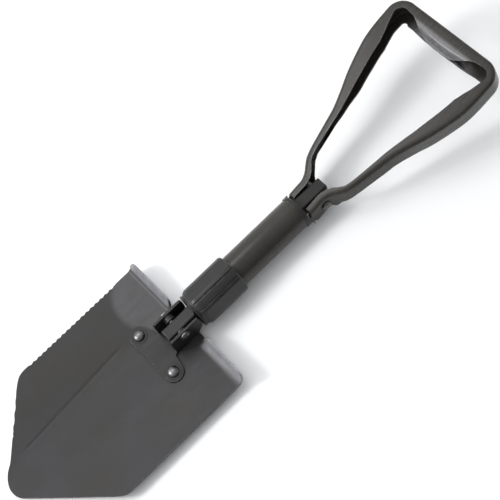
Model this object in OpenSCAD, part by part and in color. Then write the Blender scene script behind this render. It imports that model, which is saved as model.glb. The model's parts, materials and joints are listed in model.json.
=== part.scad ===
// Folding camp shovel with a triangular handle, a saw-edged blade and a screw collar.
// It lies on its back: +Y runs along the shaft to the grip, +Z is the blade's front,
// and the object's lowest point is at Z = 0.

/* [Overall] */
// Distance from the blade hinge pin to the handle hinge pin
pin_to_pin = 175; // [165:1:190]
// Forward lean of the handle on its pin, from straight
handle_lean = 13.7; // [0:0.1:14]

/* [Blade] */
// Width across the blade
blade_w = 154.6; // [140:0.2:165]
// Length from the foot steps to the point
blade_l = 217.8; // [205:0.2:230]
// Sheet thickness of the blade
sheet_t = 2; // [1.5:0.1:2.5]
// Height of the foot steps above the sheet
step_h = 12.4; // [8:0.2:14]
// Pitch of the saw teeth
tooth_pitch = 5.4; // [4.5:0.1:7]
// Depth of the saw teeth
tooth_depth = 1.8; // [1:0.1:3]

/* [Shaft] */
// Outside diameter of the tube
tube_d = 32; // [30:0.5:33]
// Wall of the tube
tube_wall = 1.6; // [1.2:0.1:2]
// Outside diameter of the locking collar
collar_d = 38.8; // [37:0.2:39]
// Length of the locking collar
collar_l = 48; // [40:1:52]
// Number of grip flats around the collar
collar_flats = 12; // [8:1:16]
// Width of the draw bar
bar_w = 11.2; // [10:0.2:12]

/* [Handle] */
// Width across the grip
grip_w = 124; // [116:1:128]
// Distance from the handle pin to the outside of the grip
handle_l = 187.8; // [180:0.2:189]
// Width of the pressed strap, measured front to back
strap_w = 26; // [22:1:26]
// Sheet thickness of the strap
strap_t = 2; // [1.5:0.1:2.2]

/* [Hidden] */
$fn = 96;
gap = 0.3;
run = 0.05;

// Heights above the shaft's axis, before the model is lifted onto the floor
blade_front_z = -14.2;
plate_t = 2.5;
plate_front_z = blade_front_z + plate_t;
pin_z = 5;
pin_r = 3;
web_t = 2;
web_front_z = pin_z + pin_r + 0.1 + web_t;
bar_depth = 17;

// Stations along the shaft, measured from the blade pin
step_y = 13.3;
tip_y = step_y - blade_l;
shoulder_y = -132.6;
bend_r = 7;
bend_y = step_y - bend_r - sheet_t;
panel_half = 23;
wing_tilt = 6.2;
tip_r = 13;
ring_y = 19.6;
ring_t = 2.4;
washer_t = 1;
collar_y = ring_y + ring_t + washer_t + 0.2;
rim_y = pin_to_pin - 21.6;
bar_top_y = pin_to_pin + 10.5;
sleeve_y = ring_y + ring_t + washer_t + 6.6;
tube_y = collar_y + 26;

// Parts of the hinge
ear_gap = 21.2;
ear_t = 2.5;
ear_r = ring_y - 0.6;
rivet_x = 24;
rivet_y = -29.4;
tube_r = tube_d / 2;
collar_r = collar_d / 2;
thread_r = tube_r - 0.1;
tail_r = 20.2;
grip_r = 17;

// Where the model sits in the frame
lift = collar_r;
top_y = pin_to_pin + handle_l * cos(handle_lean) + strap_w / 2 * sin(handle_lean);
shift = -(top_y + tip_y) / 2;

// Put a sub-part in the frame
module place() {
    translate([0, shift, lift])
        children();
}

// Run children from a hinge pin's centre, with the pin along X
module at_blade_pin() {
    translate([0, 0, pin_z])
        children();
}

module at_handle_pin() {
    translate([0, pin_to_pin, 0])
        children();
}

// A rod along X, centred
module rod_x(r, l) {
    rotate([0, 90, 0])
        cylinder(r = r, h = l, center = true);
}

// A tube along X from x0 outwards, on both sides
module bush_pair(r_out, r_in, x0, l) {
    for (side = [0, 1])
        mirror([side, 0, 0])
            translate([x0, 0, 0])
                rotate([0, 90, 0])
                    difference() {
                        cylinder(r = r_out, h = l);
                        translate([0, 0, -1])
                            cylinder(r = r_in, h = l + 2);
                    }
}

// A rod along Y starting at y
module rod_y(r, y, l) {
    translate([0, y, 0])
        rotate([-90, 0, 0])
            cylinder(r = r, h = l);
}

// Plan of the blade, with the saw teeth on the -X side
module blade_plan() {
    half = blade_w / 2;
    saw_low = shoulder_y + 8;
    saw_len = step_y - 18 - saw_low;
    teeth = floor(saw_len / tooth_pitch);
    difference() {
        union() {
            polygon([[-half, shoulder_y], [-half, bend_y - 2], [half, bend_y - 2], [half, shoulder_y],
                [half - 4, shoulder_y - 5], [tip_r * 0.72, tip_y + tip_r * 0.31], [0, tip_y + tip_r],
                [-tip_r * 0.72, tip_y + tip_r * 0.31], [-half + 4, shoulder_y - 5]]);
            translate([0, tip_y + tip_r])
                circle(r = tip_r);
        }
        for (i = [0 : teeth - 1])
            translate([-half, saw_low + (i + 0.5) * tooth_pitch])
                polygon([[-1, -tooth_pitch / 2 - 0.4], [tooth_depth, 0], [-1, tooth_pitch / 2 + 0.4]]);
    }
}

// Cross-section of the pressed sheet: a flat panel with two raised wings
module blade_section() {
    half = blade_w / 2 + 1;
    rise = (half - panel_half) * tan(wing_tilt);
    mitre = panel_half + sheet_t * tan(wing_tilt / 2);
    low = rise - sheet_t / cos(wing_tilt);
    polygon([[-half, rise], [-panel_half, 0], [panel_half, 0], [half, rise],
        [half, low], [mitre, -sheet_t], [-mitre, -sheet_t], [-half, low]]);
}

// Side view of a foot step: a bend and a short upright lip, a touch thicker than the sheet
module step_profile() {
    extra = 0.15;
    r_in = bend_r - extra;
    r_out = bend_r + sheet_t + extra;
    union() {
        intersection() {
            difference() {
                translate([bend_y, bend_r])
                    circle(r = r_out);
                translate([bend_y, bend_r])
                    circle(r = r_in);
            }
            translate([bend_y, bend_r - r_out])
                square([r_out, r_out]);
        }
        translate([bend_y + r_in, bend_r])
            square([r_out - r_in, step_h - bend_r]);
        translate([bend_y - 4, bend_r - r_out])
            square([4, r_out - r_in]);
    }
}

// Front view of a foot step, with rounded upper corners
module step_front() {
    r = 7;
    low = -12;
    outer = blade_w / 2;
    union() {
        translate([panel_half - 1, low])
            square([outer - panel_half + 1, step_h - r - low + 1]);
        translate([panel_half + r - 1, low])
            square([outer - panel_half - 2 * r + 1, 60]);
        translate([panel_half + r - 1, step_h - r + 1])
            circle(r = r);
        translate([outer - r, step_h - r + 1])
            circle(r = r);
    }
}

// One foot step, bent up from the top edge of a wing
module foot_step() {
    intersection() {
        translate([panel_half, 0, 0])
            rotate([0, -wing_tilt, 0])
                rotate([90, 0, 90])
                    linear_extrude(height = blade_w / 2 - panel_half + 4)
                        step_profile();
        rotate([90, 0, 0])
            translate([0, 0, -100])
                linear_extrude(height = 200)
                    step_front();
    }
}

module blade() {
    color("dimgray")
        place()
            translate([0, 0, blade_front_z])
                difference() {
                    union() {
                        pressed_sheet();
                        for (side = [0, 1])
                            mirror([side, 0, 0])
                                foot_step();
                    }
                    for (x = [-rivet_x, rivet_x])
                        translate([x, rivet_y, -10])
                            cylinder(r = 3, h = 20);
                }
}

module pressed_sheet() {
    intersection() {
        translate([0, 0, -20])
            linear_extrude(height = 40)
                blade_plan();
        rotate([90, 0, 0])
            translate([0, 0, -300])
                linear_extrude(height = 600)
                    blade_section();
    }
}

// Plate, rivet lobes and two ears in one pressing
module hinge_bracket() {
    plate_top = -1;
    color("black")
        place()
            difference() {
                union() {
                    translate([0, 0, blade_front_z])
                        linear_extrude(height = plate_t)
                            difference() {
                                union() {
                                    translate([-ear_gap / 2 - ear_t, rivet_y - 6])
                                        square([ear_gap + 2 * ear_t, plate_top - rivet_y + 6]);
                                    for (x = [-rivet_x, rivet_x])
                                        translate([x, rivet_y])
                                            circle(r = 9.5);
                                    polygon([[-rivet_x, rivet_y - 9.5], [rivet_x, rivet_y - 9.5],
                                        [rivet_x + 4, rivet_y + 8], [ear_gap / 2 + ear_t, -12],
                                        [-ear_gap / 2 - ear_t, -12], [-rivet_x - 4, rivet_y + 8]]);
                                }
                                for (x = [-rivet_x, rivet_x])
                                    translate([x, rivet_y])
                                        circle(r = 3.05);
                            }
                    for (side = [0, 1])
                        mirror([side, 0, 0])
                            translate([ear_gap / 2, 0, 0])
                                rotate([90, 0, 90])
                                    linear_extrude(height = ear_t)
                                        ear_profile();
                }
                at_blade_pin()
                    rod_x(pin_r + run, 60);
                for (side = [0, 1])
                    mirror([side, 0, 0])
                        translate([panel_half, 0, blade_front_z])
                            rotate([0, -wing_tilt, 0])
                                translate([0, -100, -10])
                                    cube([60, 200, 10]);
            }
}

// Side view of a hinge ear, rounded about the pin so that it clears the ring
module ear_profile() {
    top = pin_z + 7;
    back = -15;
    corner = 4;
    union() {
        translate([back, blade_front_z])
            square([-back, top - corner - blade_front_z]);
        translate([back + corner, blade_front_z])
            square([-back - corner, top - blade_front_z]);
        translate([back + corner, top - corner])
            circle(r = corner);
        intersection() {
            translate([0, pin_z])
                circle(r = ear_r);
            translate([-1, blade_front_z])
                square([ear_r + 2, top - blade_front_z]);
        }
    }
}

module blade_rivets() {
    color("gray")
        place()
            for (x = [-rivet_x, rivet_x])
                translate([x, rivet_y, 0]) {
                    translate([0, 0, blade_front_z - sheet_t - 2])
                        cylinder(r = 3, h = sheet_t + plate_t + 3);
                    dome(plate_front_z, 4.6, 3, 1);
                    dome(blade_front_z - sheet_t - 1, 4.2, 1.4, -1);
                }
}

// A spherical cap of base radius r and height h at z, pointing up or down
module dome(z, r, h, up) {
    ball = (r * r + h * h) / (2 * h);
    translate([0, 0, z])
        intersection() {
            translate([0, 0, up * (h - ball)])
                sphere(r = ball);
            translate([0, 0, up > 0 ? 0 : -h - 1])
                cylinder(r = r + 1, h = h + 1);
        }
}

module rivet_washers() {
    color("gray")
        place()
            for (x = [-rivet_x, rivet_x])
                translate([x, rivet_y, blade_front_z - sheet_t - 1])
                    difference() {
                        cylinder(r = 6, h = 1);
                        translate([0, 0, -1])
                            cylinder(r = 3, h = 3);
                    }
}

module blade_pin() {
    half = ear_gap / 2 + ear_t + 1 + 2 * gap;
    color("silver")
        place()
            at_blade_pin() {
                rod_x(pin_r, 2 * half);
                for (side = [0, 1])
                    mirror([side, 0, 0])
                        translate([half, 0, 0])
                            rotate([0, 90, 0])
                                cylinder(r1 = 5, r2 = 3.6, h = 1.8);
            }
}

module blade_pin_washers() {
    color("gray")
        place()
            at_blade_pin()
                bush_pair(6, pin_r, ear_gap / 2 + ear_t + gap, 1);
}

module blade_pin_spacers() {
    color("gray")
        place()
            at_blade_pin()
                bush_pair(5.2, pin_r, bar_w / 2, ear_gap / 2 - bar_w / 2 - gap);
}

// Channel-section bar that ties the two hinges together inside the tube
module draw_bar() {
    low_y = -13;
    len = bar_top_y - low_y;
    color("black")
        place()
            difference() {
                union() {
                    translate([-bar_w / 2, low_y, web_front_z - web_t])
                        cube([bar_w, len, web_t]);
                    for (x = [-bar_w / 2, bar_w / 2 - web_t])
                        translate([x, low_y, web_front_z - bar_depth])
                            cube([web_t, len, bar_depth]);
                }
                at_blade_pin()
                    rod_x(pin_r, bar_w + 2);
                at_handle_pin()
                    rod_x(pin_r, bar_w + 2);
                for (end = [0, 1])
                    translate([0, end == 0 ? low_y : bar_top_y, web_front_z - bar_depth])
                        rotate([0, 90, 0])
                            cylinder(r = 7, h = bar_w + 2, center = true, $fn = 4);
            }
}

module shaft_tube() {
    color("dimgray")
        place()
            difference() {
                rod_y(tube_r, tube_y, rim_y - tube_y);
                rod_y(tube_r - tube_wall, tube_y - 1, rim_y - tube_y + 2);
                translate([0, tube_y + 12, 0])
                    rod_x(2, tube_d + 10);
            }
}

// Rolled ring at the top of the tube, with two upright lugs that guard the handle's tails
module rim_ring() {
    ring_l = 4.5;
    color("black")
        place()
            union() {
                difference() {
                    rod_y(tube_r + 0.9, rim_y - ring_l, ring_l);
                    rod_y(tube_r, rim_y - ring_l - 1, ring_l + 2);
                }
                for (side = [0, 1])
                    mirror([side, 0, 0])
                        intersection() {
                            difference() {
                                rod_y(tube_r + 1, rim_y - ring_l, ring_l + 1.9);
                                rod_y(tube_r, rim_y - ring_l - 1, ring_l + 6);
                            }
                            translate([10, rim_y - ring_l - 1, -4])
                                cube([10, ring_l + 6, 8]);
                        }
            }
}

// Threaded sleeve fixed in the tube's lower end
module thread_sleeve() {
    plain_r = tube_r - tube_wall;
    color("gray")
        place()
            difference() {
                union() {
                    rod_y(thread_r - 1.2, sleeve_y, tube_y - sleeve_y);
                    for (y = [sleeve_y + 1.2 : 4 : tube_y - 3])
                        rod_y(thread_r, y, 1.6);
                    rod_y(plain_r, sleeve_y, tube_y - sleeve_y + 26);
                }
                rod_y(12, sleeve_y - 1, tube_y - sleeve_y + 40);
                translate([0, tube_y + 12, 0])
                    rod_x(2, tube_d + 10);
            }
}

module sleeve_rivets() {
    color("gray")
        place()
            for (side = [0, 1])
                mirror([side, 0, 0])
                    translate([12.1, tube_y + 12, 0])
                        rotate([0, 90, 0])
                            cylinder(r = 2, h = tube_r - 12.1 - 0.2);
}

// Screw collar with broad grip flats and narrow grooves between them
module lock_collar() {
    bore_r = thread_r + 0.4;
    color("black")
        place()
            difference() {
                union() {
                    rod_y(collar_r, collar_y + 4, collar_l - 6);
                    translate([0, collar_y, 0])
                        rotate([-90, 0, 0])
                            cylinder(r1 = collar_r - 2.4, r2 = collar_r, h = 4);
                    translate([0, collar_y + collar_l - 2, 0])
                        rotate([-90, 0, 0])
                            cylinder(r1 = collar_r, r2 = collar_r - 1.2, h = 2);
                }
                rod_y(bore_r, collar_y - 1, collar_l + 2);
                for (i = [0 : collar_flats - 1])
                    rotate([0, (i + 0.5) * 360 / collar_flats, 0])
                        translate([collar_r + 0.6, collar_y + 3, 0])
                            rotate([-90, 0, 0])
                                cylinder(r = 1.7, h = collar_l);
            }
}

// Loose washer between the collar and the ring, so the ring doesn't turn
module slip_washer() {
    color("silver")
        place()
            difference() {
                rod_y(collar_r - 2.2, ring_y + ring_t + 0.1, washer_t);
                rod_y(12, ring_y, ring_t + 4);
            }
}

// Ring that bears on the bracket's ears
module lock_ring() {
    color("gray")
        place()
            difference() {
                rod_y(collar_r - 1.4, ring_y, ring_t);
                rod_y(12, ring_y - 1, ring_t + 2);
            }
}

// Outer edge of the handle, right half, in the handle's own plane
function edge_points() = [[15, -21], [15, 5], [18.6, 11.5], [25.2, 19], [27.4, 26], [30.4, 40], [36.8, 69],
    [42.8, 84], [49, 100], [55.2, 119], [60, 139]];

// A line of points moved to the left of its own direction by d
function unit(v) = v / norm(v);
function left_of(v) = [-v[1], v[0]];
function heading(p, i) = left_of(unit(p[i + 1] - p[i]));
function corner_of(p, i) = heading(p, max(i - 1, 0)) + heading(p, min(i, len(p) - 2));
function moved(p, d) = [for (i = [0 : len(p) - 1])
    p[i] + corner_of(p, i) * (2 * d / (corner_of(p, i) * corner_of(p, i)))];

// Outline of the handle's outer edge, from tail to tail
module outer_shape() {
    top = handle_l;
    half = grip_w / 2;
    union() {
        for (side = [0, 1])
            mirror([side, 0])
                polygon(concat([[0, -21]], edge_points(), [[half, top - grip_r - 7], [half, top - grip_r],
                    [half - grip_r, top], [0, top]]));
        for (side = [-1, 1])
            translate([side * (half - grip_r), top - grip_r])
                circle(r = grip_r);
    }
}

// The outer shape less a band of the strap's thickness
module inner_shape() {
    top = handle_l - strap_t;
    half = grip_w / 2 - strap_t;
    r = grip_r - strap_t;
    union() {
        for (side = [0, 1])
            mirror([side, 0])
                polygon(concat([[0, -30], [15 - strap_t, -30]], moved(edge_points(), strap_t),
                    [[half, top - r - 6.6], [half, top - r], [half - r, top], [0, top]]));
        for (side = [-1, 1])
            translate([side * (half - r), top - r])
                circle(r = r);
    }
}

// The open triangle left between the flanges
module flange_opening() {
    top = handle_l;
    half = grip_w / 2;
    for (side = [0, 1])
        mirror([side, 0])
            polygon([[0, -30], [7, -30], [7, 3], [14.4, 9.5], [19.6, 19], [21.2, 26], [24, 40], [28.8, 69],
                [32.6, 84], [37, 100], [41.6, 119], [45.4, 139], [half - 12.5, top - 38], [half - 9.5, top - 28],
                [half - 8, top - 18], [half - 12, top - 9], [half - 20, top - 7], [half - 28, top - 11],
                [half - 34, top - 17.5], [0, top - 18]]);
}

// Channel-section strap bent into a triangle, open side inwards
module handle_frame() {
    z0 = strap_w / 2;
    lip_w = 8;
    color("dimgray")
        place()
            at_handle_pin()
                rotate([handle_lean, 0, 0])
                    difference() {
                        intersection() {
                            union() {
                                translate([0, 0, -z0])
                                    linear_extrude(height = strap_w)
                                        difference() {
                                            outer_shape();
                                            inner_shape();
                                        }
                                for (z = [-z0, z0 - strap_t])
                                    translate([0, 0, z])
                                        linear_extrude(height = strap_t)
                                            difference() {
                                                outer_shape();
                                                flange_opening();
                                            }
                                for (z = [-z0, z0 - lip_w])
                                    translate([-grip_w / 2 + 34, handle_l - 18, z])
                                        cube([grip_w - 68, strap_t, lip_w]);
                            }
                            union() {
                                rod_x(tail_r, 200);
                                translate([-100, 0, -50])
                                    cube([200, 300, 100]);
                            }
                        }
                        rod_x(pin_r + run, 60);
                    }
}

module handle_pin() {
    half = 15 + 1 + 2 * gap;
    color("silver")
        place()
            at_handle_pin() {
                rod_x(pin_r, 2 * half);
                for (side = [0, 1])
                    mirror([side, 0, 0])
                        translate([half, 0, 0])
                            rotate([0, 90, 0])
                                cylinder(r1 = 5, r2 = 3.6, h = 1.8);
            }
}

module handle_pin_washers() {
    color("gray")
        place()
            at_handle_pin()
                bush_pair(5.6, pin_r, 15 + gap, 1);
}

module handle_pin_spacers() {
    color("silver")
        place()
            at_handle_pin()
                bush_pair(4.8, pin_r, bar_w / 2, 15 - strap_t - bar_w / 2 - gap);
}

module handle_pin_sleeve() {
    color("gray")
        place()
            at_handle_pin()
                difference() {
                    rod_x(4.6, bar_w - 2 * web_t);
                    rod_x(pin_r, bar_w);
                }
}

blade();
hinge_bracket();
blade_rivets();
rivet_washers();
blade_pin();
blade_pin_washers();
blade_pin_spacers();
draw_bar();
shaft_tube();
rim_ring();
thread_sleeve();
sleeve_rivets();
lock_collar();
slip_washer();
lock_ring();
handle_frame();
handle_pin();
handle_pin_washers();
handle_pin_spacers();
handle_pin_sleeve();
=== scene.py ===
"""Folding camp shovel: blade, hinges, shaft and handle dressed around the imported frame."""

import json
import math

import bmesh
import bpy
import numpy as np
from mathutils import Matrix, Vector


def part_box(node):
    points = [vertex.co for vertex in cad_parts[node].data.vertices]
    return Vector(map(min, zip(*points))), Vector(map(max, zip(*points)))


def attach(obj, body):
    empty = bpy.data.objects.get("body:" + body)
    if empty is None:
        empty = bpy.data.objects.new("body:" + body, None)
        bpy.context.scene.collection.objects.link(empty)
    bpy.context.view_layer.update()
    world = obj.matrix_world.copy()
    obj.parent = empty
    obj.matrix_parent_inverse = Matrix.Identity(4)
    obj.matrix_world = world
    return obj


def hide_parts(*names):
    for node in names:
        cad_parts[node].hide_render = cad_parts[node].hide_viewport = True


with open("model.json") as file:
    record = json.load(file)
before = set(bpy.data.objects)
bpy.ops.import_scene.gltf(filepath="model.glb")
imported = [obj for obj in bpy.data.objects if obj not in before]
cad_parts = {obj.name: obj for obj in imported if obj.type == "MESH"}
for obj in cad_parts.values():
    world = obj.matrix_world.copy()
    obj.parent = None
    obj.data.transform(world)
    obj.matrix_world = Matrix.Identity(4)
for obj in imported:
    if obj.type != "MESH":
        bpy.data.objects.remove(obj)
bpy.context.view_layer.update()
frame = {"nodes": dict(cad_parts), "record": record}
MM = 0.001
MERGE_GAP, THIN_FACE = 1e-6, 1e-7  # metres
CORNER_SHARE = 0.45  # the most of a side that one rounded corner may take

# ---------------------------------------------------------------- datums, in mm


def span(node):
    """A node's lowest and highest corners, in mm."""
    low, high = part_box(node)
    return np.array(low) / MM, np.array(high) / MM


tube_lo, tube_hi = span("shaft_tube")
pin_lo, pin_hi = span("blade_pin")
AXIS_Z = (tube_lo[2] + tube_hi[2]) / 2
PIN_Y = (pin_lo[1] + pin_hi[1]) / 2


def local(node):
    """A node's box with Y from the blade pin and Z from the shaft's axis, in mm."""
    low, high = span(node)
    shift = np.array([0, PIN_Y, AXIS_Z])
    return low - shift, high - shift


def place(points):
    """Design points in mm, Y from the blade pin and Z from the shaft's axis, to frame metres."""
    points = np.asarray(points, float)
    return (points + np.array([0, PIN_Y, AXIS_Z])) * MM


# ---------------------------------------------------------------- mesh helpers


def mesh_piece(name, verts, faces, body, slot, replaces=(), smooth=40):
    """A piece from design points in mm."""
    mesh = bpy.data.meshes.new(name)
    mesh.from_pydata([tuple(p) for p in place(verts)], [], [tuple(f) for f in faces])
    mesh.validate()
    piece = bpy.data.objects.new(name, mesh)
    bpy.context.collection.objects.link(piece)
    finish_mesh(piece, smooth)
    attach(piece, body)
    if replaces:
        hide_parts(*replaces)
    return piece


def finish_mesh(piece, smooth):
    """Merge doubles, face outwards and shade smooth below an angle in degrees."""
    mesh = piece.data
    bm = bmesh.new()
    bm.from_mesh(mesh)
    bmesh.ops.remove_doubles(bm, verts=bm.verts, dist=MERGE_GAP)
    bmesh.ops.dissolve_degenerate(bm, edges=bm.edges, dist=THIN_FACE)
    bmesh.ops.recalc_face_normals(bm, faces=bm.faces)
    limit = math.radians(smooth)
    for face in bm.faces:
        face.smooth = True
    for edge in bm.edges:
        edge.smooth = len(edge.link_faces) == 2 and edge.calc_face_angle(0) < limit
    bm.to_mesh(mesh)
    bm.free()


def bevel(piece, width, segments=3, angle=35):
    """Round a piece's sharp edges; width in mm, angle in degrees."""
    mod = piece.modifiers.new("edge_round", "BEVEL")
    mod.width = width * MM
    mod.segments = segments
    mod.limit_method = "ANGLE"
    mod.angle_limit = math.radians(angle)
    mod.harden_normals = False
    mod.use_clamp_overlap = True
    piece.data.shade_smooth()
    weighted = piece.modifiers.new("face_normals", "WEIGHTED_NORMAL")
    weighted.keep_sharp = False
    weighted.weight = 80


def grid_faces(rows, cols, wrap_rows=False, wrap_cols=False):
    """Quads over a grid of points numbered row by row."""
    faces = []
    for r in range(rows if wrap_rows else rows - 1):
        for c in range(cols if wrap_cols else cols - 1):
            r2, c2 = (r + 1) % rows, (c + 1) % cols
            faces.append((r * cols + c, r * cols + c2, r2 * cols + c2, r2 * cols + c))
    return faces


def axis_matrix(axis):
    """Columns (u, v, w): w is the turning axis."""
    return {
        "x": np.array([[0, 0, 1], [1, 0, 0], [0, 1, 0]], float),
        "y": np.array([[1, 0, 0], [0, 0, 1], [0, -1, 0]], float),
        "z": np.eye(3),
    }[axis]


def lathe_points(profile, axis, centre=(0, 0, 0), steps=96):
    """Turn a closed profile of (along, radius) about an axis."""
    basis = axis_matrix(axis)
    verts = []
    for i in range(steps):
        turn = 2 * math.pi * i / steps
        for along, radius in profile:
            point = np.array([radius * math.cos(turn), radius * math.sin(turn), along])
            verts.append(basis @ point + centre)
    return np.array(verts), grid_faces(steps, len(profile), wrap_rows=True, wrap_cols=True)


def rounded(profile, radius, steps=4):
    """Round the corners of a closed 2D polygon."""
    points = [np.array(p, float) for p in profile]
    out = []
    for i, here in enumerate(points):
        before, after = points[i - 1] - here, points[(i + 1) % len(points)] - here
        to_before, to_after = np.linalg.norm(before), np.linalg.norm(after)
        room = min(radius, to_before * CORNER_SHARE, to_after * CORNER_SHARE)
        a = here + before / to_before * room
        b = here + after / to_after * room
        for k in range(steps + 1):
            t = k / steps
            out.append((1 - t) ** 2 * a + 2 * t * (1 - t) * here + t ** 2 * b)
    return out


def join(parts):
    """Several (verts, faces) pairs as one."""
    verts, faces, base = [], [], 0
    for part_verts, part_faces in parts:
        verts.extend(part_verts)
        faces.extend(tuple(i + base for i in f) for f in part_faces)
        base += len(part_verts)
    return np.array(verts), faces


def mirrored(part):
    """The same points on the other side of X = 0."""
    verts, faces = part
    flipped = np.array(verts, float)
    flipped[:, 0] *= -1
    return flipped, [tuple(reversed(f)) for f in faces]


def prism(outline, low, high, axes="xyz"):
    """A closed outline pushed from low to high; axes names where outline and depth go."""
    order = ["xyz".index(a) for a in axes]
    count = len(outline)
    verts = np.zeros((2 * count, 3))
    for side, depth in enumerate((low, high)):
        for i, point in enumerate(outline):
            row = verts[side * count + i]
            row[order[0]], row[order[1]], row[order[2]] = point[0], point[1], depth
    faces = [(i, (i + 1) % count, count + (i + 1) % count, count + i) for i in range(count)]
    faces += [tuple(reversed(range(count))), tuple(range(count, 2 * count))]
    return verts, faces


def arc(cx, cy, radius, start, end, steps):
    """Points on an arc, angles in degrees."""
    return [(cx + radius * math.cos(math.radians(start + (end - start) * i / steps)),
             cy + radius * math.sin(math.radians(start + (end - start) * i / steps)))
            for i in range(steps + 1)]


# ---------------------------------------------------------------- materials

# The bevel node's rounded normal against the true one: cosines on a flat and on an edge
ON_FLAT, ON_EDGE = 0.985, 0.90
EDGE_SAMPLES = 4
# The colour sockets of a mix node, by place
MIX_FACTOR, MIX_A, MIX_B, MIX_RESULT = 0, 6, 7, 2


class Nodes:
    """Short hand for building one node tree."""

    def __init__(self, name):
        self.material = bpy.data.materials.new(name)
        self.material.use_nodes = True
        self.tree = self.material.node_tree
        self.shader = self.tree.nodes["Principled BSDF"]
        self.coords = self.tree.nodes.new("ShaderNodeTexCoord")

    def new(self, kind, **inputs):
        """A node with some of its inputs set."""
        node = self.tree.nodes.new(kind)
        for key, value in inputs.items():
            node.inputs[key.replace("_", " ")].default_value = value
        return node

    def link(self, source, target):
        """Join two sockets."""
        self.tree.links.new(source, target)

    def noise(self, scale, detail=4.0, rough=0.55, stretch=(1, 1, 1)):
        """Noise over the piece's own coordinates, scaled along each axis by stretch."""
        mapping = self.new("ShaderNodeMapping")
        mapping.inputs["Scale"].default_value = stretch
        self.link(self.coords.outputs["Object"], mapping.inputs["Vector"])
        node = self.new("ShaderNodeTexNoise", Scale=scale, Detail=detail, Roughness=rough)
        self.link(mapping.outputs["Vector"], node.inputs["Vector"])
        return node.outputs["Fac"]

    def ramp(self, source, low, high, out_low=0.0, out_high=1.0):
        """A value's range carried over to another."""
        node = self.new("ShaderNodeMapRange")
        keys = ("From Min", "From Max", "To Min", "To Max")
        for key, value in zip(keys, (low, high, out_low, out_high)):
            node.inputs[key].default_value = value
        self.link(source, node.inputs["Value"])
        return node.outputs["Result"]

    def maths(self, operation, a, b):
        """One sum on two numbers or sockets."""
        node = self.new("ShaderNodeMath")
        node.operation = operation
        for socket, value in zip(node.inputs, (a, b)):
            if isinstance(value, (int, float)):
                socket.default_value = value
            else:
                self.link(value, socket)
        return node.outputs["Value"]

    def mix(self, fac, a, b):
        """A blend of two colours."""
        node = self.tree.nodes.new("ShaderNodeMix")
        node.data_type = "RGBA"
        for key, value in ((MIX_FACTOR, fac), (MIX_A, a), (MIX_B, b)):
            if isinstance(value, (tuple, float, int)):
                node.inputs[key].default_value = value
            else:
                self.link(value, node.inputs[key])
        return node.outputs[MIX_RESULT]

    def edges(self, radius):
        """1 on convex and concave edges, 0 on flats."""
        soft = self.new("ShaderNodeBevel", Radius=radius * MM)
        soft.samples = EDGE_SAMPLES
        geometry = self.tree.nodes.new("ShaderNodeNewGeometry")
        dot = self.tree.nodes.new("ShaderNodeVectorMath")
        dot.operation = "DOT_PRODUCT"
        self.link(soft.outputs["Normal"], dot.inputs[0])
        self.link(geometry.outputs["Normal"], dot.inputs[1])
        return self.ramp(dot.outputs["Value"], ON_FLAT, ON_EDGE)

    def bump(self, height, strength, distance):
        """Relief on the shader; distance in mm."""
        node = self.new("ShaderNodeBump", Strength=strength, Distance=distance * MM)
        self.link(height, node.inputs["Height"])
        self.link(node.outputs["Normal"], self.shader.inputs["Normal"])


def srgb(r, g, b):
    """8-bit sRGB to a linear colour."""
    def lin(v):
        v /= 255
        return v / 12.92 if v <= 0.04045 else ((v + 0.055) / 1.055) ** 2.4

    return (lin(r), lin(g), lin(b), 1.0)


def scaled(colour, factor):
    """A colour made lighter or darker."""
    return tuple(c * factor for c in colour[:3]) + (1,)


# Lighter, part-metallic colour: worn paint and painted highlight along edges, painted highlight and
# sheen in marked zones
WEAR_AND_HIGHLIGHT = srgb(160, 159, 163)
WEAR_AND_HIGHLIGHT_METAL = 0.25


def paint(name, colour, other, rough, edge_wear_and_highlight, gloss):
    """Baked-on paint: broad tone changes, fine speckle, orange-peel bump, edges lightened as worn
    paint and painted highlight, and painted highlight in marked zones.

    The argument after rough is how light the edges are painted, and gloss is the specular level.
    """
    n = Nodes(name)
    broad = n.noise(14.0, 3.0, 0.6)
    fine = n.noise(1400.0, 2.0, 0.6)
    scuff = n.noise(120.0, 6.0, 0.75, (1, 0.25, 1))
    tone = n.mix(n.ramp(broad, 0.35, 0.68), colour, other)
    speck = n.mix(n.ramp(fine, 0.40, 0.62, 0.0, 0.35), tone, scaled(other, 1.35))
    # edges lightened: worn paint and painted highlight, patchy with the scuffs
    edge = n.maths("MULTIPLY", n.edges(0.9), n.ramp(scuff, 0.42, 0.66))
    # painted highlight and sheen where the piece marks it
    zone = n.tree.nodes.new("ShaderNodeAttribute")
    zone.attribute_name = "painted_highlight"
    zone_highlight = n.maths("MULTIPLY", zone.outputs["Fac"], n.ramp(scuff, 0.25, 0.55, 0.55, 1.0))
    worn_and_highlit = n.maths("MAXIMUM", n.maths("MULTIPLY", edge, edge_wear_and_highlight), zone_highlight)
    n.link(n.mix(worn_and_highlit, speck, WEAR_AND_HIGHLIGHT), n.shader.inputs["Base Color"])
    n.link(n.maths("MULTIPLY", worn_and_highlit, WEAR_AND_HIGHLIGHT_METAL), n.shader.inputs["Metallic"])
    rough_map = n.maths("ADD", n.ramp(scuff, 0.3, 0.7, rough - 0.05, rough + 0.07),
                        n.ramp(broad, 0.3, 0.7, -0.03, 0.03))
    n.link(rough_map, n.shader.inputs["Roughness"])
    n.shader.inputs["Specular IOR Level"].default_value = gloss
    peel = n.maths("MULTIPLY", n.noise(620.0, 2.0, 0.5), 0.7)
    n.bump(n.maths("ADD", peel, n.maths("MULTIPLY", fine, 0.3)), 0.35, 0.03)
    return n.material


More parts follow.
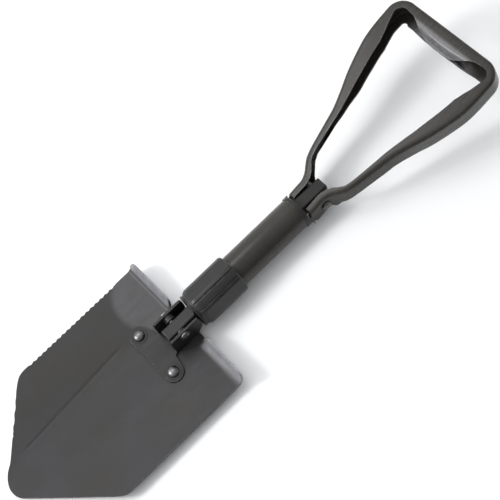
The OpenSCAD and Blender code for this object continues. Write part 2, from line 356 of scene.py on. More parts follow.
def steel(name, colour, rough, lines=(1, 1, 1)):
    """Bare or plated steel: brushed streaks, small pits and tarnish."""
    n = Nodes(name)
    streak = n.noise(900.0, 3.0, 0.6, lines)
    tarnish = n.noise(160.0, 5.0, 0.7)
    tone = n.mix(n.ramp(tarnish, 0.45, 0.72), colour, scaled(colour, 0.45))
    n.link(tone, n.shader.inputs["Base Color"])
    n.shader.inputs["Metallic"].default_value = 1.0
    n.link(n.ramp(streak, 0.3, 0.7, rough - 0.08, rough + 0.12), n.shader.inputs["Roughness"])
    n.bump(streak, 0.25, 0.02)
    return n.material


MATERIALS = {
    "blade_paint": paint("blade_paint", srgb(46, 44, 40), srgb(51, 50, 53), 0.42, 0.45, 0.24),
    "tube_paint": paint("tube_paint", srgb(44, 42, 39), srgb(54, 51, 47), 0.26, 0.8, 0.28),
    "black_paint": paint("black_paint", srgb(35, 34, 33), srgb(44, 43, 42), 0.34, 0.7, 0.2),
    "collar_paint": paint("collar_paint", srgb(36, 35, 34), srgb(46, 45, 44), 0.3, 0.7, 0.3),
    "pin_steel": steel("pin_steel", srgb(108, 107, 105), 0.4, (1, 8, 8)),
    "dark_steel": steel("dark_steel", srgb(112, 112, 113), 0.34),
}


def dress(piece, slot):
    """Give a piece one of the materials."""
    piece.data.materials.clear()
    piece.data.materials.append(MATERIALS[slot])


def painted_highlight(piece, amount):
    """Mark where the paint gets painted highlight; amount takes a design point in mm."""
    back = np.array([0, PIN_Y, AXIS_Z])
    layer = piece.data.attributes.new("painted_highlight", "FLOAT", "POINT")
    for vert, value in zip(piece.data.vertices, layer.data):
        value.value = amount(np.array(vert.co) / MM - back)


def ease(value, low, high):
    """0 below low, 1 above high, smooth between."""
    t = min(1.0, max(0.0, (value - low) / (high - low)))
    return t * t * (3 - 2 * t)


SLOT_OF = {s["node"]: s["material_slot"] for s in frame["record"]["subparts"]}


def build(name, part, node, smooth=40, bevel_mm=None):
    """A dressed piece that stands for a node and takes its body and slot."""
    slot = SLOT_OF[node]
    bodies = frame["record"]["behaviour"]["bodies"]
    body = next(b for b, nodes in bodies.items() if node in nodes)
    piece = mesh_piece(name, part[0], part[1], body, slot, (node,), smooth)
    dress(piece, slot)
    if bevel_mm:
        bevel(piece, bevel_mm)
    return piece


# ---------------------------------------------------------------- blade

blade_lo, blade_hi = local("blade")
BLADE_HALF = blade_hi[0] - 0.3
TIP_Y = blade_lo[1]
TIP_R = 15.0
SHEET = 2.0  # thickness of the steel
FRONT = blade_lo[2] + SHEET  # the flat middle's front face

# Where the sides turn in toward the point, and how softly
SHOULDER_Y = -132.6
SHOULDER_REACH, SHOULDER_SOFT = 6.0, 2.2

# Foot steps: top, height, rounding of the corners; slant, bend radius and angle by side
STEP_Y = blade_hi[1] - 0.1
STEP_H = 12.4
STEP_CORNER = 6.5
STEP_SLANT = {-1: 0.2, 1: 1.8}
STEP_BEND = {-1: (5.5, math.radians(70)), 1: (9.0, math.radians(72))}
LIP_MIN = 0.6
BEND_STEPS, LIP_STEPS = 10, 5
NOTCH = 23.0  # half width of the gap between the steps

# Tongue of sheet in that gap: where it starts, its top at the right, and its top in the middle
BEND_Y = 0.4
MID_TOP = 12.0
TAIL_TOP = 19.2
TONGUE_ROWS = 4
EAR_IN, EAR_T = 10.6, 2.5

# Raised wings: slope, half width of the flat between them, and how that narrows toward the point
WING = math.tan(math.radians(6.2))
FLAT_HALF, FLAT_NARROWS = NOTCH + 3, 9
FLAT_FROM, FLAT_LENGTH = -25, 140
FLAT_SOFT = 2.5

# The pressed crease left of the middle
CREASE_LOW, CREASE_HIGH = -178.0, -44.0
CREASE_X, CREASE_LEAN = -29.3, 0.064
CREASE_DEPTH, CREASE_HALF, CREASE_FADE = 0.45, 0.9, 15

# Left edge: saw teeth, shallow scallops along the point, and the hammered corner
SAW_PITCH, SAW_DEPTH, SAW_ROUND = 5.9, 1.2, 0.8
SAW_LOW, SAW_HIGH = -120.0, -12.0
SCALLOP_PITCH, SCALLOP_DEPTH, SCALLOP_FADE = 8.5, 0.9, 6
SCALLOP_LOW, SCALLOP_HIGH = TIP_Y + 26, SHOULDER_Y - 12
BULGE, BULGE_AT, BULGE_WIDE = 2.6, 6.5, 6.0
FLARE = 0.8


def edge_x(y):
    """Half width of the plain blade at y."""
    centre = TIP_Y + TIP_R
    diagonal = TIP_R * math.sqrt(0.5)
    tangent = centre - diagonal
    if y < tangent:
        return math.sqrt(max(TIP_R ** 2 - (y - centre) ** 2, 0.0))
    if y > SHOULDER_Y + SHOULDER_REACH:
        return BLADE_HALF
    straight = diagonal + (y - tangent) * (BLADE_HALF - diagonal) / (SHOULDER_Y - tangent)
    # a rounded shoulder: smooth minimum of the point's side and the blade's side
    soft = SHOULDER_SOFT
    return -soft * math.log(math.exp(-straight / soft) + math.exp(-BLADE_HALF / soft))


def saw_cut(y):
    """How far the teeth or scallops cut into the -X edge at y."""
    if SAW_LOW < y < SAW_HIGH:
        phase = ((y - SAW_LOW) / SAW_PITCH) % 1.0
        return SAW_DEPTH * (1 - abs(2 * phase - 1)) ** SAW_ROUND
    if SCALLOP_LOW < y < SCALLOP_HIGH:
        phase = ((y - SHOULDER_Y) / SCALLOP_PITCH) % 1.0
        fade = min(1, (SCALLOP_HIGH - y) / SCALLOP_FADE, (y - SCALLOP_LOW) / SCALLOP_FADE)
        return SCALLOP_DEPTH * math.sin(math.pi * phase) ** 2 * fade
    return 0.0


def tip_bulge(y):
    """How much wider the point's left side is hammered than its right."""
    rise = (y - TIP_Y - BULGE_AT) / BULGE_WIDE
    flare = FLARE * ease(-y, -SHOULDER_Y - 2, -SHOULDER_Y + 12) * ease(y, TIP_Y + 4, TIP_Y + 12)
    return BULGE * math.exp(-rise * rise) + flare


def ramp_up(value, soft):
    """0 well below zero and value well above, rounded between."""
    return soft * math.log1p(math.exp(value / soft))


def dish(x, y):
    """Height of the pressed front face."""
    flat = FLAT_HALF - FLAT_NARROWS * max(0.0, min(1.0, (FLAT_FROM - y) / FLAT_LENGTH))
    lift = ramp_up(abs(x) - flat, FLAT_SOFT) - ramp_up(-flat, FLAT_SOFT)
    groove = 0.0
    if x < 0 and CREASE_LOW < y < CREASE_HIGH:
        line = CREASE_X + (CREASE_HIGH - y) * CREASE_LEAN
        ends = (ease(y, CREASE_LOW, CREASE_LOW + CREASE_FADE)
                * ease(-y, -CREASE_HIGH, CREASE_FADE - CREASE_HIGH))
        groove = CREASE_DEPTH * ends * math.exp(-((x - line) / CREASE_HALF) ** 2)
    return FRONT + lift * WING - groove


def blade_rows():
    """The rows' heights, closest at the point and the shoulder."""
    rows = np.concatenate([
        TIP_Y + 0.02 + 8 * np.linspace(0, 1, 26) ** 2,
        np.arange(TIP_Y + 8, SHOULDER_Y - 8, 1.0),
        np.arange(SHOULDER_Y - 8, SHOULDER_Y + 8, 0.5),
        np.arange(SHOULDER_Y + 8, BEND_Y - 2.2, SAW_PITCH / 8),
        [BEND_Y - 2.2]])
    return sorted(set(np.round(rows, 3)))


def blade_columns():
    """The columns' places across the blade, -1 at the left edge and 1 at the right."""
    outer = np.concatenate([
        [-1, -0.98, -0.955], np.linspace(-0.93, -NOTCH / BLADE_HALF - 0.018, 36)])
    return np.concatenate([outer, np.linspace(-NOTCH, NOTCH, 13) / BLADE_HALF, -outer[::-1]])


def front_point(u, y):
    """A point of the pressed face in column u at height y."""
    x = u * edge_x(y)
    if u == -1:
        x += saw_cut(y)
    if x < 0:
        x -= tip_bulge(y) * min(1.0, -u)
    return x, y, dish(x, y)


def step_point(u, k):
    """Point k of a foot step in column u: round the bend, then up the lip."""
    side = -1 if u < 0 else 1
    radius, turn = STEP_BEND[side]
    x = u * BLADE_HALF
    inset = min(BLADE_HALF - abs(x), abs(x) - NOTCH)
    short = max(0.0, STEP_CORNER - inset)
    cut = STEP_CORNER - math.sqrt(max(STEP_CORNER ** 2 - short ** 2, 0))
    full = (STEP_H - radius * (1 - math.cos(turn))) / math.sin(turn)
    lip = max(LIP_MIN, full - cut)
    start = STEP_Y - radius * math.sin(turn) - full * math.cos(turn) - SHEET * math.sin(turn)
    slant = STEP_SLANT[side] * max(0.0, abs(x) - NOTCH) / (BLADE_HALF - NOTCH)
    bent = turn * min(1.0, k / BEND_STEPS)
    along = lip * max(0, k - BEND_STEPS) / LIP_STEPS
    return (x, start + radius * math.sin(bent) + along * math.cos(turn) - slant,
            dish(x, 0) + radius * (1 - math.cos(bent)) + along * math.sin(turn))


def blade_part():
    """The pressed face, the two foot steps, and the tongue between them, one skin thick."""
    rows, across = blade_rows(), blade_columns()
    cols = len(across)
    verts = [front_point(u, y) for y in rows for u in across]
    verts += [step_point(u, k) for k in range(BEND_STEPS + LIP_STEPS + 1) for u in across]
    faces = grid_faces(len(rows), cols)
    low = int(np.argmin(np.abs(across * BLADE_HALF + NOTCH)))
    high = int(np.argmin(np.abs(across * BLADE_HALF - NOTCH)))
    start = (len(rows) - 1) * cols
    for r in range(BEND_STEPS + LIP_STEPS + 1):
        for c in list(range(low)) + list(range(high, cols - 1)):
            a = start + r * cols + c
            faces.append((a, a + 1, a + 1 + cols, a + cols))
    tongue = len(verts)
    for k in range(1, TONGUE_ROWS + 1):
        for c in range(low, high + 1):
            x = across[c] * BLADE_HALF
            top = TAIL_TOP if -NOTCH + 2 < x < EAR_IN - 1 else MID_TOP
            verts.append((x, BEND_Y + (top - BEND_Y) * k / TONGUE_ROWS, dish(x, 0)))
    wide = high - low + 1
    below = [start + c for c in range(low, high + 1)]
    for k in range(TONGUE_ROWS):
        row = [tongue + k * wide + c for c in range(wide)]
        faces += [(below[c], below[c + 1], row[c + 1], row[c]) for c in range(wide - 1)]
        below = row
    used = sorted({i for f in faces for i in f})
    order = {old: new for new, old in enumerate(used)}
    return np.array([verts[i] for i in used]), [tuple(order[i] for i in f) for f in faces]


def face_up(piece):
    """Turn an open skin's faces so that they look up."""
    bm = bmesh.new()
    bm.from_mesh(piece.data)
    if sum(f.normal.z for f in bm.faces) < 0:
        bmesh.ops.reverse_faces(bm, faces=bm.faces)
    bm.to_mesh(piece.data)
    bm.free()


def add_thickness(piece, amount):
    """Give a skin its thickness, in mm, behind the face that was built."""
    mod = piece.modifiers.new("sheet", "SOLIDIFY")
    mod.thickness = amount * MM
    mod.offset = -1
    mod.use_even_offset = True


# Painted highlight on the steps, by side as it fades in below the step's top; and painted sheen on
# the left shoulder
STEP_HIGHLIGHT = 0.9
STEP_HIGHLIGHT_FADE = {-1: (-7.0, -4.5), 1: (-11.0, -5.0)}
PATCH_SHEEN = 0.15
PATCH_AT, PATCH_SIZE, PATCH_END = (-48, -4), (36, 30), -15


def blade_painted_highlight(p):
    """Painted highlight on the steps, and a little painted sheen on the left shoulder."""
    low, high = STEP_HIGHLIGHT_FADE[1 if p[0] > 0 else -1]
    step = STEP_HIGHLIGHT * ease(p[1] - STEP_Y, low, high) * ease(abs(p[0]), NOTCH - 1, NOTCH + 4)
    away = math.hypot((p[0] - PATCH_AT[0]) / PATCH_SIZE[0], (p[1] - PATCH_AT[1]) / PATCH_SIZE[1])
    return max(step, PATCH_SHEEN * ease(-away, -1.0, -0.75) if p[0] < PATCH_END else 0.0)


blade = build("blade_sheet", blade_part(), "blade", smooth=180)
face_up(blade)
painted_highlight(blade, blade_painted_highlight)
add_thickness(blade, SHEET)
bevel(blade, 0.45, segments=2, angle=50)

# ---------------------------------------------------------------- hinge bracket

EAR_TOP = local("hinge_bracket")[1][2]
EAR_OUT = EAR_IN + EAR_T
EAR_R = 19.0  # the ears' rounding about the pin
EAR_BACK, EAR_CORNER = -15.0, 3.5
PLATE_T = 2.5
PLATE_Z = FRONT + PLATE_T
LOBE_R = 9.5
RIVET_X = 24.0
RIVET_Y = -29.4
RIVET_HEAD_R, RIVET_SHANK_R = 5.6, 3.0
PIN_Z = (pin_lo[2] + pin_hi[2]) / 2 - AXIS_Z


def bracket_plate():
    """Plate outline: two round lobes, a waist and the strip under the ears."""
    right = [(EAR_OUT, -1.2), (EAR_OUT, -14.5), (EAR_OUT + 1.2, -17.5)]
    right += arc(RIVET_X, RIVET_Y, LOBE_R, 75, -90, 20)
    right += [(RIVET_X - 9, RIVET_Y - LOBE_R - 0.2), (5, RIVET_Y - LOBE_R + 0.6)]
    left = [(-x, y) for x, y in reversed(right)]
    return right + left


def ear_outline():
    """Side view of an ear as (y, z): squared toward the blade and round about the pin."""
    points = [(-1.0, FRONT), (EAR_BACK, FRONT)]
    points += arc(EAR_BACK + EAR_CORNER, EAR_TOP - EAR_CORNER, EAR_CORNER, 180, 90, 6)
    end = math.degrees(math.asin((EAR_TOP - PIN_Z) / EAR_R))
    points += arc(0, PIN_Z, EAR_R, end, 0, 10)
    points += [(EAR_R, PIN_Z - 9), (EAR_R - 1.5, PIN_Z - 12), (12.0, FRONT)]
    return points


def ear_part(side):
    """An ear that stands on the plate, on the side of X given by 1 or -1."""
    return prism(ear_outline(), side * EAR_IN, side * EAR_OUT, "yzx")


build("hinge_bracket_pressing", join([
    prism(bracket_plate(), FRONT + 0.02, PLATE_Z, "xyz"),
    ear_part(1), ear_part(-1),
]), "hinge_bracket", bevel_mm=0.5)


def at_rivets(profile, steps):
    """A turned profile of (z, radius) at each rivet."""
    return join([lathe_points(profile, "z", (x, RIVET_Y, 0), steps) for x in (-RIVET_X, RIVET_X)])


def lobe_boss():
    """Raised ring of metal round each rivet."""
    profile = [(PLATE_Z - 0.6, 8.6), (PLATE_Z + 0.1, 8.2), (PLATE_Z + 0.25, 6.8),
               (PLATE_Z + 0.2, 4.0), (PLATE_Z - 0.6, 4.0)]
    return at_rivets(rounded(profile, 0.3, 3), 64)


boss = mesh_piece("rivet_bosses", *lobe_boss(), "blade", "black_paint")
dress(boss, "black_paint")


def rivet_part():
    """Domed heads in front, shanks through the sheet, and set tails behind it."""
    head, shank, seat = RIVET_HEAD_R, RIVET_SHANK_R, PLATE_Z + 0.3
    back = FRONT - SHEET - 1.0
    dome = [(seat + 3.1 * math.sin(math.radians(a)), max(0.001, head * math.cos(math.radians(a))))
            for a in range(90, 0, -10)]
    skirt = [(seat, head), (seat - 0.2, head - 0.3), (seat - 0.2, shank)]
    tail = [(back, shank), (back, 4.1), (back - 0.7, 3.6), (back - 1.2, 2.2), (back - 1.4, 0.001)]
    return at_rivets(dome + skirt + tail, 48)


build("rivet_heads", rivet_part(), "blade_rivets", smooth=50)

# ---------------------------------------------------------------- pins


PIN_SHANK_R = 3.0
PIN_HEAD_SHARE, PIN_SHORT = 0.84, 0.4  # smaller heads and shorter ends than the CAD's


def pin_part(node):
    """A pin with a domed head each side."""
    low, high = local(node)
    y, z = (low[1] + high[1]) / 2, (low[2] + high[2]) / 2
    half, head_r = high[0] - PIN_SHORT, (high[1] - low[1]) / 2 * PIN_HEAD_SHARE
    right = [(half, 0.001), (half - 0.15, head_r * 0.45), (half - 0.6, head_r * 0.8),
             (half - 1.2, head_r * 0.96), (half - 1.7, head_r), (half - 1.8, PIN_SHANK_R)]
    left = [(-x, radius) for x, radius in reversed(right)]
    return lathe_points(right + left, "x", (0, y, z), 48)


build("blade_pin_rod", pin_part("blade_pin"), "blade_pin", smooth=50)
build("handle_pin_rod", pin_part("handle_pin"), "handle_pin", smooth=50)

# ---------------------------------------------------------------- draw bar

bar_lo, bar_hi = local("draw_bar")
BAR_T, BAR_CORNER = 2.0, 1.6
BAR_WIDER = 0.4  # a little more half width than the CAD's where it shows
BAR_ASIDE = 2.5  # and at the blade's end it stands to the right
BAR_CUT = 7.0  # the flanges are cut away toward each end


def bar_part():
    """Folded channel: web to the front, two flanges behind it."""
    half, top, low = bar_hi[0], bar_hi[2], bar_lo[2]
    mouth, head = local("lock_ring")[0][1], local("rim_ring")[0][1]
    r = BAR_CORNER
    outer = [(-half, low)] + arc(-half + r, top - r, r, 180, 90, 5)
    outer += arc(half - r, top - r, r, 90, 0, 5) + [(half, low)]
    inner = [(half - BAR_T, low), (half - BAR_T, top - BAR_T)]
    inner += [(-x, z) for x, z in reversed(inner)]
    section = outer + inner
    # y, lift of the flanges' lower edge, step to the right, extra half width; plain in the tube
    stations = [
        (bar_lo[1], BAR_CUT, BAR_ASIDE, BAR_WIDER),
        (bar_lo[1] + BAR_CUT, 0.0, BAR_ASIDE, BAR_WIDER),
        (mouth - 1.2, 0.0, BAR_ASIDE - 0.4, BAR_WIDER), (mouth - 0.3, 0.0, 0.0, 0.0),
        (head - 2.0, 0.0, 0.0, 0.0), (head - 1.0, 0.0, 0.0, BAR_WIDER),
        (bar_hi[1] - BAR_CUT, 0.0, 0.0, BAR_WIDER), (bar_hi[1], BAR_CUT, 0.0, BAR_WIDER)]
    verts = []
    for y, lift, aside, wider in stations:
        for x, z in section:
            verts.append((x + aside + math.copysign(wider, x), y, max(z, low + lift)))
    count, last = len(section), len(stations) - 1
    faces = grid_faces(len(stations), count, wrap_cols=True)
    faces += [tuple(reversed(range(count))), tuple(range(last * count, (last + 1) * count))]
    return verts, faces


build("draw_bar_channel", bar_part(), "draw_bar", bevel_mm=0.35)

# ---------------------------------------------------------------- shaft


TUBE_T = 1.6
RIM_OUT = 0.9  # how far the rim ring stands out of the tube
LUG_HALF = 4.5
LUG_STEPS = 10


def ring_part(low, high, r_out, r_in, edge):
    """A plain ring about the shaft's axis with rounded edges."""
    profile = [(low, r_out), (high, r_out), (high, r_in), (low, r_in)]
    return lathe_points(rounded(profile, edge, 4), "y", (0, 0, 0), 128)


tube_low, tube_high = local("shaft_tube")
TUBE_R = tube_high[0]
build("shaft_tube_skin", ring_part(tube_low[1], tube_high[1], TUBE_R, TUBE_R - TUBE_T, 0.5),
      "shaft_tube", smooth=40)

rim_lo, rim_hi = local("rim_ring")


def rim_part():
    """Rolled ring and its two lugs."""
    outer = TUBE_R + RIM_OUT
    ring = ring_part(rim_lo[1], rim_hi[1] - 2.4, outer, TUBE_R + 0.001, 0.55)
    turns = [math.asin(LUG_HALF / outer) * (2 * k / LUG_STEPS - 1) for k in range(LUG_STEPS + 1)]
    top, foot = TUBE_R + 1.15, TUBE_R + 0.05
    outline = [(top * math.cos(a), top * math.sin(a)) for a in turns]
    outline += [(foot * math.cos(a), foot * math.sin(a)) for a in reversed(turns)]
    lug = prism(outline, rim_lo[1] + 0.2, rim_hi[1], "xzy")
    return join([ring, lug, mirrored(lug)])


build("rim_ring_skin", rim_part(), "rim_ring", bevel_mm=0.3)

# ---------------------------------------------------------------- collar

collar_lo, collar_hi = local("lock_collar")
COLLAR_R = collar_hi[0]
COLLAR_STEPS = 360
PAD_AT, PAD_HALF = math.radians(-21), math.radians(32)  # the four broad pads
PAD_FLAT = 1.35
GROOVE_HALF, GROOVE_DEPTH = math.radians(2.6), 1.1  # a groove each side of a rib
RING_BORE = 12.0


def collar_radius(turn):
    """Outline of the collar: broad pads, narrow ribs and a groove each side of a rib."""
    period = math.pi / 2
    rel = (turn - PAD_AT + period / 2) % period - period / 2
    radius = COLLAR_R
    if abs(rel) < PAD_HALF:
        radius = min(COLLAR_R, (COLLAR_R - PAD_FLAT) / math.cos(rel))
    off_groove = abs(abs(rel) - PAD_HALF) / GROOVE_HALF
    if off_groove < 1:
        radius -= GROOVE_DEPTH * math.cos(off_groove * math.pi / 2) ** 0.7
    return radius


def collar_part():
    """The collar's outline carried along its axis, chamfered at both ends, over a plain bore."""
    low, high, bore = collar_lo[1], collar_hi[1], TUBE_R + 0.3
    along = [(low, -2.5), (low + 0.25, -1.9), (low + 3.6, -0.18), (low + 4.4, 0.0),
             (high - 2.0, 0.0), (high - 1.5, -0.12), (high - 0.2, -1.0), (high, -1.25)]
    verts = []
    for i in range(COLLAR_STEPS):
        turn = 2 * math.pi * i / COLLAR_STEPS
        radius = collar_radius(turn)
        section = [(y, min(radius, COLLAR_R + change)) for y, change in along]
        for y, r in section + [(high, bore), (low, bore)]:
            verts.append((r * math.sin(turn), y, r * math.cos(turn)))
    return verts, grid_faces(COLLAR_STEPS, len(along) + 2, wrap_rows=True, wrap_cols=True)


dress(build("lock_collar_skin", collar_part(), "lock_collar", smooth=32), "collar_paint")

# name, node, rounding of the edges, and how much smaller than the CAD's
for name, node, edge, shrink in (("lock_ring_skin", "lock_ring", 0.6, 0.5),
                                 ("slip_washer_skin", "slip_washer", 0.25, 0.2)):
    lo, hi = local(node)
    ring = ring_part(lo[1] + shrink, hi[1], hi[0] - shrink, RING_BORE, edge)
    build(name, ring, node, smooth=40)

# ---------------------------------------------------------------- handle

handle_pin_lo, handle_pin_hi = local("handle_pin")
HANDLE_PIN_Y = (handle_pin_lo[1] + handle_pin_hi[1]) / 2
LEAN = math.radians(13.7)  # the handle stands forward of the shaft
GRIP_HALF = local("handle_frame")[1][0]
HANDLE_L = 187.8  # from the pin to the grip's far edge
STRAP_HALF, STRAP_T, STRAP_BEND = 13.0, 2.0, 3.4
CORNER_R, CORNER_STEPS = 17.0, 16
TAIL_R = 20.2  # round of the straps' lower ends
TAIL_PLAIN = -15.4  # below this the tails' flanges end at their bend
LEG_STEP = 1.6
GRIP_STEPS = 46

# Outer edge of the right leg as (x, s), s measured up the handle from its pin
LEG_LINE = [(15, -20.1), (15, -8), (15.2, 2), (17.2, 8), (21.4, 14), (25.4, 20), (28.0, 27),
            (31.2, 40), (34.2, 54), (37.7, 69), (43.2, 84), (49.8, 100), (56.0, 119), (60.6, 138),
            (61.8, 152), (GRIP_HALF, 163), (GRIP_HALF, HANDLE_L - CORNER_R)]
# How far each flange reaches in from the outer edge, by s up the leg
LEG_FRONT = [(-16, 7.0), (4, 7.0), (10, 6.6), (16, 5.6), (22, 5.0), (40, 5.8), (60, 6.8), (70, 7.6),
             (80, 9.0), (90, 10.6), (100, 12.4), (110, 13.6), (120, 14.4), (130, 15.2), (140, 15.6),
             (150, 13.6), (160, 10.6), (171, 8.0)]
LEG_BACK = [(-16, 8.0), (8, 8.6), (16, 8.2), (22, 6.6), (28, 5.2), (40, 5.6), (60, 6.2), (80, 7.2),
            (100, 10.6), (120, 12.8), (140, 14.2), (150, 12.6), (160, 11.0), (171, 11.5)]
# Low on the leg its back edge splays outward and narrows, by s up the leg
LEG_SPLAY = [(2, 0.0), (6, 3.8), (10, 6.0), (17, 6.0), (26, 4.3), (36, 3.7), (60, 3.6), (92, 0.0)]
LEG_TAPER = [(6, 0.0), (12, 6.5), (22, 8.0), (36, 7.5), (64, 6.5), (96, 0.0)]
# Where the grip's front flange starts to roll over, by x
GRIP_FLAT = [(0, 11.0), (14, 10.6), (22, 9.8), (30, 9.0), (38, 8.6), (45, 8.0)]
# Both flanges roll over toward the grip's middle: radius, and the x where it starts and is whole
CURL_R = 8.0
CURL_FROM, CURL_TO = 38.0, 10.0
CURL_EASE = 1.3  # the roll grows as this power
TUCK_LATE = 0.25  # how much later the back flange starts


def through(points, step):
    """A smooth line through points, sampled every step."""
    points = np.array(points, float)
    at = np.concatenate([[0], np.cumsum(np.linalg.norm(np.diff(points, axis=0), axis=1))])
    slope = np.gradient(points, at, axis=0)
    where = np.linspace(0, at[-1], int(at[-1] / step) + 1)
    k = np.clip(np.searchsorted(at, where, side="right") - 1, 0, len(at) - 2)
    gap = (at[k + 1] - at[k])[:, None]
    t = ((where - at[k])[:, None]) / gap
    return ((2 * t ** 3 - 3 * t ** 2 + 1) * points[k] + (t ** 3 - 2 * t ** 2 + t) * gap * slope[k]
            + (3 * t ** 2 - 2 * t ** 3) * points[k + 1] + (t ** 3 - t ** 2) * gap * slope[k + 1])


def look_up(table, where):
    """A table's value at a place between its rows."""
    return float(np.interp(where, [a for a, _ in table], [b for _, b in table]))


def strap_line():
    """Stations from the right tail to the grip's middle.

    Each is x, s, half width, bend radius, front flat and curl, back flat and curl.
    """
    stations = []
    for x, s in through(LEG_LINE, LEG_STEP):
        half = STRAP_HALF
        if s < 0:
            half = min(half, math.sqrt(max(TAIL_R ** 2 - s ** 2, 4.0)))
        keep = 1.0 if s > TAIL_PLAIN else 0.0
        front, back = look_up(LEG_FRONT, s) * keep, look_up(LEG_BACK, s) * keep
        stations.append((x, s, half, STRAP_BEND, front, 0.0, back, 0.0))
    corner_x, corner_s = GRIP_HALF - CORNER_R, HANDLE_L - CORNER_R
    for k in range(1, CORNER_STEPS + 1):
        turn = k / CORNER_STEPS
        angle = turn * math.pi / 2
        x, s = corner_x + CORNER_R * math.cos(angle), corner_s + CORNER_R * math.sin(angle)
        front, back = 8.0 - 0.8 * math.sin(math.pi * turn), 11.5 + 4.5 * turn
        stations.append((x, s, STRAP_HALF, STRAP_BEND, front, 0.0, back, 0.0))
    whole = CURL_R * math.pi / 2 + STRAP_HALF - CURL_R
    for x in np.linspace(corner_x, 0, GRIP_STEPS)[1:]:
        grown = min(1.0, max(0.0, (CURL_FROM - x) / (CURL_FROM - CURL_TO)))
        curl = whole * grown ** CURL_EASE
        tuck = whole * max(0.0, grown * (1 + TUCK_LATE) - TUCK_LATE) ** CURL_EASE
        # the back flange gives up flat as it tucks under, so that its edge runs straight
        front = look_up(GRIP_FLAT, x)
        back = 16.0 + 3.0 * grown - CURL_R * math.sin(min(tuck / CURL_R, math.pi / 2))
        stations.append((x, HANDLE_L, STRAP_HALF, STRAP_BEND, front, curl, back, tuck))
    return stations


def flange_half(h, bend, flat, curl, offset):
    """Half a channel section from the web's middle to the free edge, as (reach, z)."""
    bend = min(bend, h * 0.8)
    points = [(offset, 0.0), (offset, (h - bend) * 0.6)]
    r = bend - offset
    for k in range(7):
        turn = math.pi / 2 * k / 6
        points.append((bend - r * math.cos(turn), h - bend + r * math.sin(turn)))
    flat = max(0.0, flat - bend)
    for k in range(1, 4):
        points.append((bend + flat * k / 3, h - offset))
    full_turn = min(curl / CURL_R, math.pi / 2)
    r, start = CURL_R - offset, bend + flat
    for k in range(1, 9):
        turn = full_turn * k / 8
        points.append((start + r * math.sin(turn), h - CURL_R + r * math.cos(turn)))
    wall = min(max(0.0, curl - CURL_R * math.pi / 2), h - CURL_R - 0.02)
    reach, height = points[-1]
    for k in range(1, 4):
        down = wall * k / 3
        points.append((reach + down * math.cos(full_turn), height - down * math.sin(full_turn)))
    return points


def handle_section(station):
    """A station's closed section as (reach inward, z): along the outer skin, back by the inner."""
    _, s, h, bend, front, curl, back, tuck = station
    splay, taper = look_up(LEG_SPLAY, s), look_up(LEG_TAPER, s)
    section = []
    for offset, order in ((0.0, 1), (STRAP_T, -1)):
        top = flange_half(h, bend, front, curl, offset)
        low = [(r, -z) for r, z in flange_half(h - taper, bend, back, tuck, offset)]
        section += (top[::-1] + low[1:])[::order]
    return [(reach - splay * (h - z) / (2 * h), z) for reach, z in section]


def handle_part():
    """The strap's section carried round the handle's whole outline."""
    right = strap_line()
    line = right + [(-p[0],) + p[1:] for p in reversed(right[:-1])]
    path = np.array([p[:2] for p in line])
    tangent = np.gradient(path, axis=0)
    tangent /= np.linalg.norm(tangent, axis=1)[:, None]
    verts, count = [], 0
    for station, (x, s), (tx, ts) in zip(line, path, tangent):
        section = handle_section(station)
        count = len(section)
        for reach, z in section:
            px, ps = x - ts * reach, s + tx * reach
            verts.append((px, HANDLE_PIN_Y + ps * math.cos(LEAN) - z * math.sin(LEAN),
                          ps * math.sin(LEAN) + z * math.cos(LEAN)))
    faces = grid_faces(len(line), count, wrap_cols=True)
    # close both ends with a strip between the outer and the inner skin
    for base in (0, (len(line) - 1) * count):
        for k in range(count // 2 - 1):
            strip = (base + k, base + k + 1, base + count - 2 - k, base + count - 1 - k)
            faces.append(strip if base else strip[::-1])
    return verts, faces


handle = build("handle_strap", handle_part(), "handle_frame", smooth=50)


GRIP_HIGHLIGHT = 0.30


def grip_painted_highlight(p):
    """Painted highlight on the rolled front of the grip."""
    along = (p[1] - HANDLE_PIN_Y) * math.cos(LEAN) + p[2] * math.sin(LEAN)
    reach = HANDLE_L - along
    across = ease(40 - abs(p[0]), 0, 14)
    return GRIP_HIGHLIGHT * across * ease(reach, 8.5, 11.5) * ease(-reach, -30, -25)


painted_highlight(handle, grip_painted_highlight)

# ---------------------------------------------------------------- carried-over CAD nodes

for node in ("rivet_washers", "blade_pin_washers", "blade_pin_spacers", "thread_sleeve",
             "sleeve_rivets", "handle_pin_washers", "handle_pin_spacers", "handle_pin_sleeve"):
    # the blade's spacers are painted black instead of their own finish: painted shade for the
    # shaded gap beside the bar
    dress(frame["nodes"][node], "black_paint" if node == "blade_pin_spacers" else SLOT_OF[node])

# ---------------------------------------------------------------- floor, light and camera

CAM_AT = Vector((0.38984, -0.11861, 0.97967))
CAM_TURN = (0.371934, 0.177085, 0.8132)
CAM_LENS, CAM_SENSOR = 83.236, 36.0
FLOOR_HALF, FLOOR_BACK, FLOOR_RISE = 6.0, 2.5, 3.0  # metres; it sweeps up behind the shovel
FLOOR_DROP = 0.0002  # keeps the shovel's underside off the floor's face


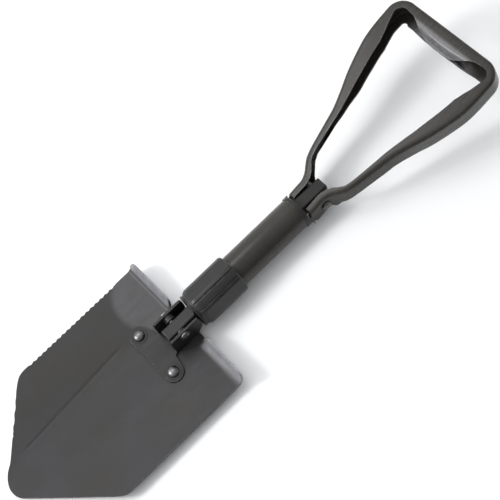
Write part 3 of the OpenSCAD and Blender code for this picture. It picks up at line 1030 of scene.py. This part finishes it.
def add_stage():
    """A pale floor that curves up into a backdrop."""
    rows = [(-FLOOR_HALF, 0.0), (FLOOR_BACK, 0.0)] + [
        (FLOOR_BACK + math.sin(a), 1.0 - math.cos(a)) for a in np.linspace(0.15, math.pi / 2, 10)]
    rows.append((FLOOR_BACK + 1.0, FLOOR_RISE))
    verts = [(x, y, z - FLOOR_DROP) for y, z in rows for x in (-FLOOR_HALF, FLOOR_HALF)]
    mesh = bpy.data.meshes.new("floor")
    mesh.from_pydata(verts, [], grid_faces(len(rows), 2))
    mesh.shade_smooth()
    floor = bpy.data.objects.new("floor", mesh)
    bpy.context.collection.objects.link(floor)
    n = Nodes("floor_card")
    card = n.mix(n.noise(3.0), srgb(243, 243, 243), srgb(247, 247, 247))
    n.link(card, n.shader.inputs["Base Color"])
    n.shader.inputs["Roughness"].default_value = 0.9
    mesh.materials.append(n.material)


def add_light(name, at, aim, size, power):
    """A square soft light, size in metres and power in watts."""
    light = bpy.data.lights.new(name, "AREA")
    light.shape = "RECTANGLE"
    light.size = light.size_y = size
    light.energy = power
    lamp = bpy.data.objects.new(name, light)
    lamp.location = at
    lamp.rotation_euler = (Vector(aim) - Vector(at)).to_track_quat("-Z", "Y").to_euler()
    bpy.context.collection.objects.link(lamp)


def add_camera():
    """The photograph's viewpoint, fitted to the shovel's outlines."""
    camera = bpy.data.cameras.new("camera")
    camera.lens = CAM_LENS
    camera.sensor_width = CAM_SENSOR
    camera.clip_start, camera.clip_end = 0.05, 30
    eye = bpy.data.objects.new("camera", camera)
    eye.location = CAM_AT
    eye.rotation_euler = CAM_TURN
    bpy.context.collection.objects.link(eye)
    bpy.context.scene.camera = eye


def add_world():
    """Soft surroundings, brightest from -X and above and dim from +X."""
    world = bpy.data.worlds.new("studio")
    world.use_nodes = True
    tree = world.node_tree
    sky = tree.nodes["Background"]
    sky.inputs["Color"].default_value = (0.96, 0.98, 1.0, 1)
    facing = tree.nodes.new("ShaderNodeVectorMath")
    facing.operation = "DOT_PRODUCT"
    facing.inputs[1].default_value = Vector((-0.8, -0.2, 0.55)).normalized()
    tree.links.new(tree.nodes.new("ShaderNodeTexCoord").outputs["Generated"], facing.inputs[0])
    fade = tree.nodes.new("ShaderNodeMapRange")
    for key, value in (("From Min", -0.5), ("From Max", 1.0), ("To Min", 0.06), ("To Max", 1.3)):
        fade.inputs[key].default_value = value
    tree.links.new(facing.outputs["Value"], fade.inputs["Value"])
    tree.links.new(fade.outputs["Result"], sky.inputs["Strength"])
    bpy.context.scene.world = world


add_stage()
add_camera()
target = Vector((0, 0, 0.03))
add_light("key", target + Vector((-1.3, -2.2, 2.5)), target, 2.8, 27)
add_light("glint", target + Vector((-0.55, -1.0, 1.0)), target + Vector((0, 0.1, 0)), 0.3, 8)
add_light("sheen", Vector((-0.44, -0.05, 0.88)), Vector((-0.05, -0.1, 0)), 0.35, 1.8)
add_world()
bpy.context.scene.view_settings.view_transform = "Standard"
